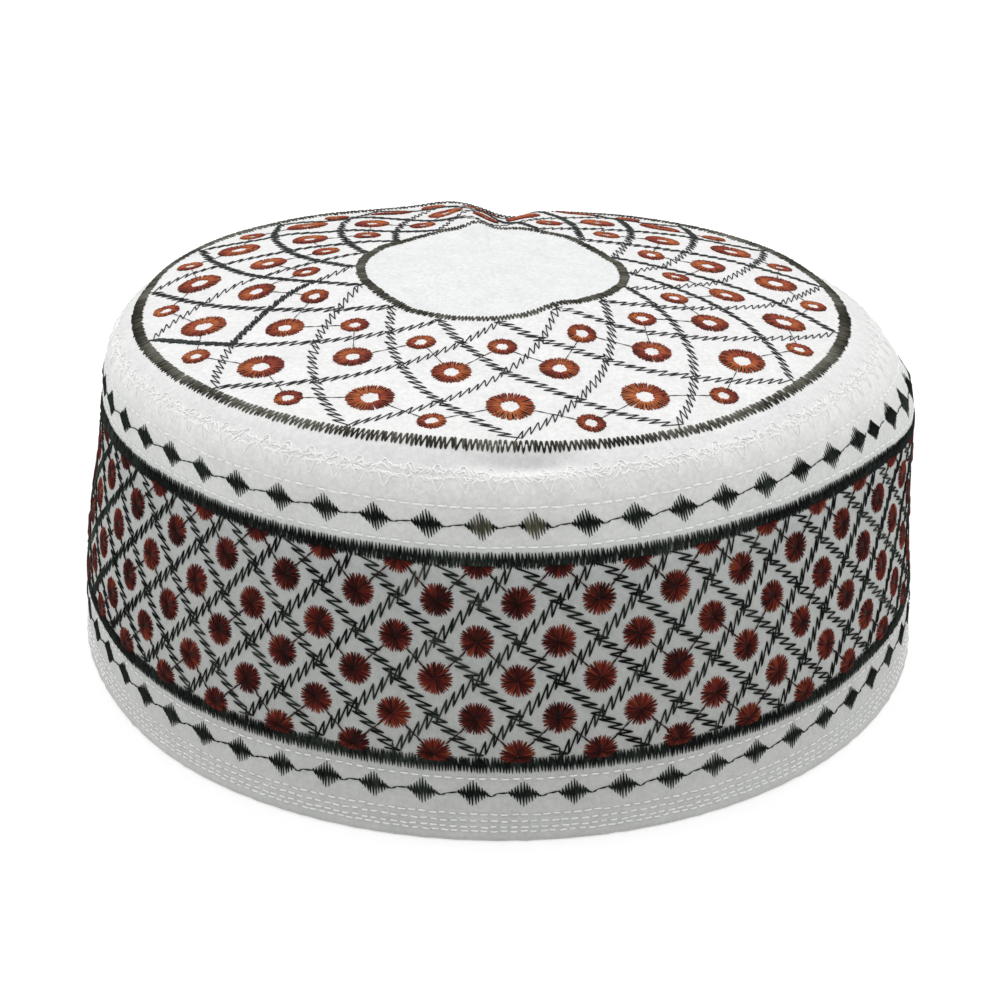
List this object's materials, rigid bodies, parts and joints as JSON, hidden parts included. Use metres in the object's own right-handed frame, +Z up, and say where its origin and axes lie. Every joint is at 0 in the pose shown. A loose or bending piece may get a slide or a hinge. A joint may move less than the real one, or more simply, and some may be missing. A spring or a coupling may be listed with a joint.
{
  "type": "prayer cap",
  "caption": "Round stiffened prayer cap with a soft domed crown, embroidered lattice band, satin-stitched borders and a turned hem.",
  "frame": {"origin": "centre of the hem's circle, on the surface that the cap stands on", "axes": "+Z up through the crown, -Y towards the front of the cap, +X to its left-hand wearer's side"},
  "size_m": [0.1919, 0.19, 0.0893],
  "materials": {
    "band_cloth": "matt stiffened cotton, plain weave",
    "crown_cloth": "matt cotton, plain weave",
    "white_thread": "satin thread",
    "olive_thread": "satin thread",
    "dark_thread": "satin thread",
    "rust_thread": "satin thread"
  },
  "bodies": {
    "root": {"side_band": "band_cloth", "crown_top": "crown_cloth", "crown_seam": "white_thread", "crown_outer_border": "olive_thread", "crown_centre_border": "olive_thread", "band_upper_border": "dark_thread", "band_lower_border": "dark_thread"}
  },
  "joints": []
}
